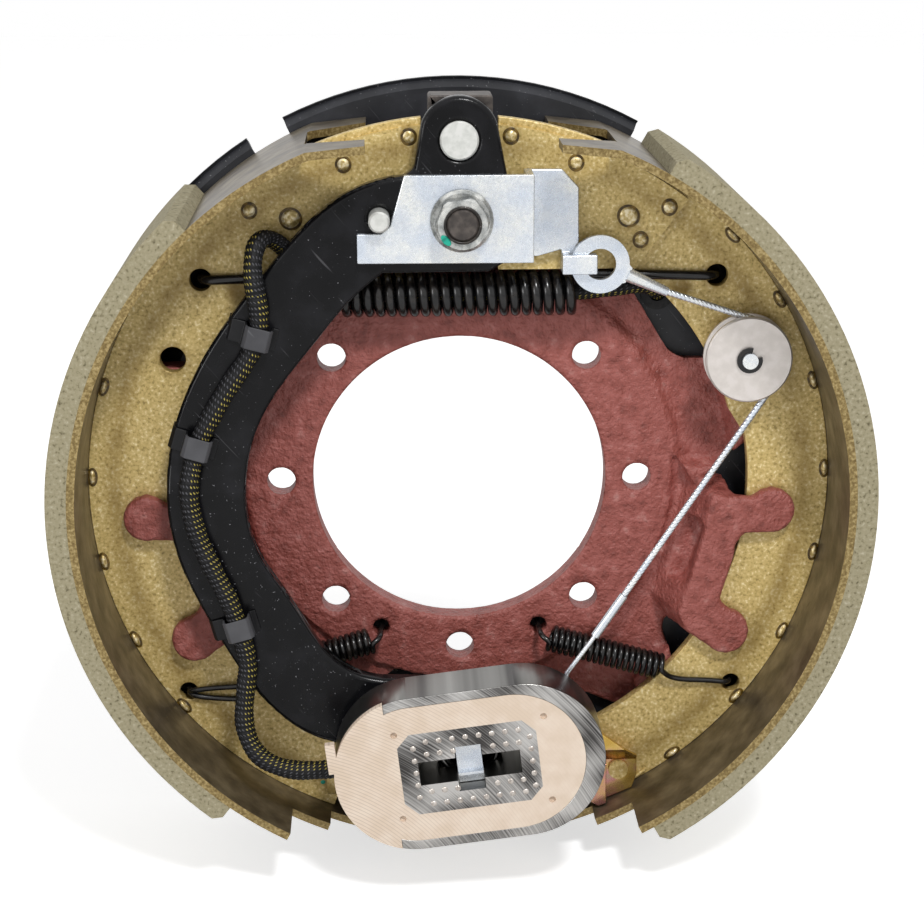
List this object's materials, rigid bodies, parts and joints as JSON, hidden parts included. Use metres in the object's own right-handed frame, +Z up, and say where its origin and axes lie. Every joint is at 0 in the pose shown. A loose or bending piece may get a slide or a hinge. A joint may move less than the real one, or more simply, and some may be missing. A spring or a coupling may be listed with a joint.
{
  "type": "trailer brake assembly",
  "caption": "Electric drum brake for a trailer axle: cast spider, lined shoes, magnet on a swinging arm, cable-worked star adjuster and dust shield.",
  "frame": {"origin": "centre of the pilot bore, on the face that bolts to the axle flange", "axes": "+Z up to the anchor pin, +X towards the rear shoe, -Y towards the open side that faces the drum"},
  "size_m": [0.3086, 0.1004, 0.3056],
  "materials": {
    "iron_paint": "dark red oxide primer on sand-cast iron",
    "black_paint": "semi-gloss black",
    "yellow_chromate": "gold-olive chromate over zinc plate",
    "zinc_plate": "bright zinc plate",
    "steel": "bare machined steel",
    "lining": "moulded friction lining, grey-olive with specks",
    "facing": "moulded beige friction facing, machined flat",
    "rubber": "matte black",
    "sleeve": "braided black sleeve with yellow flecks",
    "spring_black": "black coated spring wire",
    "pulley_metal": "pale sintered metal",
    "coil_resin": "sealed winding",
    "wire_insulation": "black insulation"
  },
  "bodies": {
    "backing": {"spider": "iron_paint", "dust_shield": "black_paint", "shield_screws": "zinc_plate", "slot_plugs": "rubber", "lead_grommet": "rubber", "anchor_pin": "steel", "pivot_nut": "zinc_plate", "adjuster_nut": "yellow_chromate", "return_spring": "spring_black", "front_lower_spring": "spring_black", "rear_lower_spring": "spring_black", "lead_loop": "sleeve", "upper_lead_tail": "wire_insulation", "lower_lead_tail": "wire_insulation"},
    "arm": {"magnet_arm": "black_paint", "pivot_bush": "steel", "cam_block": "steel", "cam_pin": "zinc_plate", "stop_pin": "zinc_plate", "wire_clips": "black_paint", "lead_on_arm": "sleeve", "magnet_post": "steel", "magnet_clip": "zinc_plate", "follower_spring": "steel"},
    "magnet": {"magnet_case": "steel", "pole_core": "steel", "magnet_coil": "coil_resin", "friction_facing": "facing", "magnet_lead": "sleeve"},
    "cable_lever": {"cable_bracket": "zinc_plate", "cable_eye": "zinc_plate"},
    "front_shoe": {"front_shoe_web": "yellow_chromate", "front_web_doubler": "yellow_chromate", "front_shoe_table": "yellow_chromate", "front_lining": "lining"},
    "rear_shoe": {"rear_shoe_web": "yellow_chromate", "rear_web_doubler": "yellow_chromate", "rear_shoe_table": "yellow_chromate", "rear_lining": "lining", "pulley_pin": "zinc_plate", "pulley_clip": "spring_black", "lever_pivot": "yellow_chromate", "lever_spring": "yellow_chromate", "adjuster_cable": "zinc_plate"},
    "adjusting_lever": {"adjuster_lever": "yellow_chromate", "cable_ferrule": "zinc_plate", "cable_hook": "zinc_plate"},
    "cable_pulley": {"pulley": "pulley_metal"},
    "socket": {"adjuster_socket": "yellow_chromate", "thrust_washer": "yellow_chromate"},
    "star": {"star_screw": "yellow_chromate"}
  },
  "joints": [
    {"name": "arm_swing", "type": "hinge", "parent": "backing", "child": "arm", "pos_m": [0, -0.034, 0.1077], "axis": [0, -1, 0], "range_deg": [0, 7], "stiffness_Nm_per_rad": 20, "springref_deg": -5.73, "deforming": ["return_spring", "front_lower_spring", "adjuster_cable", "lever_spring", "lead_loop"]},
    {"name": "magnet_slide", "type": "slide", "parent": "arm", "child": "magnet", "axis": [0, 1, 0], "range_m": [0, 0.005], "stiffness_N_per_m": 400, "springref_m": -0.006, "deforming": ["follower_spring", "magnet_lead"]},
    {"name": "cable_lever_swing", "type": "hinge", "parent": "backing", "child": "cable_lever", "pos_m": [0, -0.0397, 0.1077], "axis": [0, -1, 0], "range_deg": [0, 8]},
    {"name": "front_shoe_swing", "type": "hinge", "parent": "backing", "child": "front_shoe", "pos_m": [-0.047, -0.0175, -0.121], "axis": [0, -1, 0], "range_deg": [0, 1]},
    {"name": "star_spin", "type": "hinge", "parent": "socket", "child": "star", "pos_m": [0, -0.0175, -0.121], "axis": [1, 0, 0], "range_deg": [0, 730]},
    {"name": "socket_slide", "type": "slide", "parent": "backing", "child": "socket", "axis": [1, 0, 0], "range_m": [0, 0.00254], "deforming": ["rear_lower_spring"]},
    {"name": "rear_shoe_swing", "type": "hinge", "parent": "backing", "child": "rear_shoe", "pos_m": [0, -0.0175, 0.1077], "axis": [0, -1, 0], "range_deg": [0, 0.7]},
    {"name": "lever_swing", "type": "hinge", "parent": "rear_shoe", "child": "adjusting_lever", "pos_m": [0.0628, -0.0245, -0.1175], "axis": [0, 1, 0], "range_deg": [0, 12]},
    {"name": "pulley_spin", "type": "hinge", "parent": "rear_shoe", "child": "cable_pulley", "pos_m": [0.1092, -0.027, 0.0518], "axis": [0, -1, 0], "continuous": true}
  ],
  "couplings": [
    {"joint": "cable_lever_swing", "follows": "arm_swing", "ratio": 1},
    {"joint": "front_shoe_swing", "follows": "arm_swing", "ratio": 0.1},
    {"joint": "lever_swing", "follows": "arm_swing", "ratio": 0.208},
    {"joint": "star_spin", "follows": "socket_slide", "rad_per_m": 4947.4},
    {"joint": "rear_shoe_swing", "follows": "socket_slide", "rad_per_m": 4.373}
  ]
}
